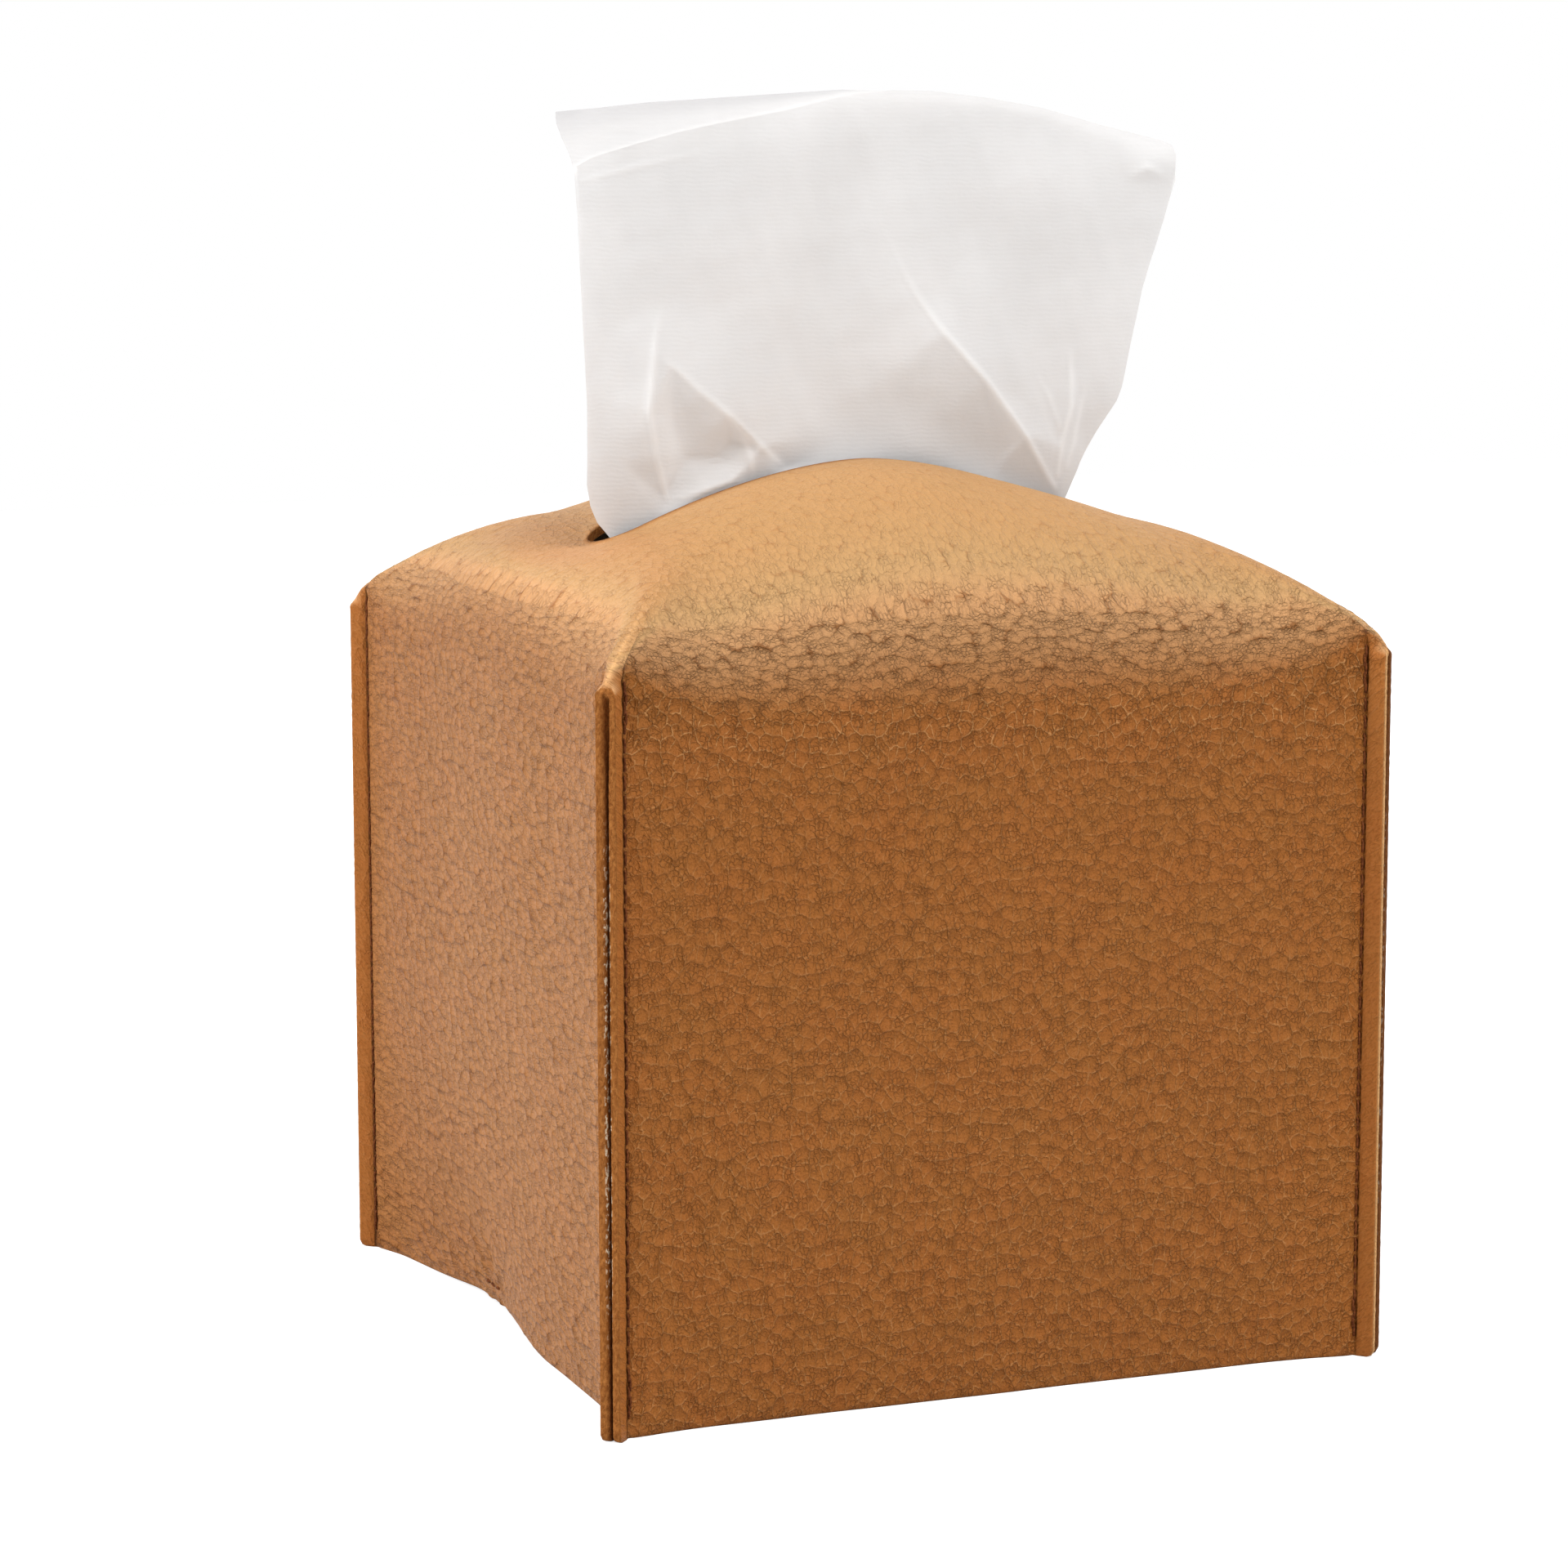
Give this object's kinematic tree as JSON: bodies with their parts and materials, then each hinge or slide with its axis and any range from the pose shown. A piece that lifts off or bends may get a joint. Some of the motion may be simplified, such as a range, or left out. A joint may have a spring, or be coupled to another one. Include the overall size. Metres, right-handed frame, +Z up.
{
  "type": "tissue box cover",
  "caption": "Soft leather cube cover with turned-out corner seams, a domed top with a long slot, a band across the open bottom and a tissue refill inside.",
  "frame": {"origin": "centre of the base, on the surface that the cover stands on", "axes": "+Z up, X along the slot in the top, -Y towards the front wall"},
  "size_m": [0.13, 0.13, 0.1971],
  "materials": {
    "leather": "pebbled, satin",
    "seam_thread": "waxed thread",
    "elastic": "ribbed elastic",
    "cardboard": "matt",
    "film": "thin clear film",
    "tissue_paper": "soft, matt"
  },
  "bodies": {
    "cover": {"leather_shell": "leather", "needle_thread_front_left": "seam_thread", "needle_thread_front_right": "seam_thread", "needle_thread_back_left": "seam_thread", "needle_thread_back_right": "seam_thread", "bobbin_thread_front_left": "seam_thread", "bobbin_thread_front_right": "seam_thread", "bobbin_thread_back_left": "seam_thread", "bobbin_thread_back_right": "seam_thread", "elastic_band": "elastic", "band_tack_left": "seam_thread", "band_tack_right": "seam_thread"},
    "carton": {"refill_carton": "cardboard", "carton_film": "film", "tissue_stack": "tissue_paper"},
    "tissue": {"tissue_sheet": "tissue_paper"}
  },
  "joints": [
    {"name": "refill_slide", "type": "slide", "parent": "cover", "child": "carton", "axis": [0, 0, -1], "range_m": [0, 0.125], "deforming": ["elastic_band"]},
    {"name": "tissue_pull", "type": "slide", "parent": "cover", "child": "tissue", "axis": [0, 0, 1], "range_m": [0, 0.08]}
  ]
}
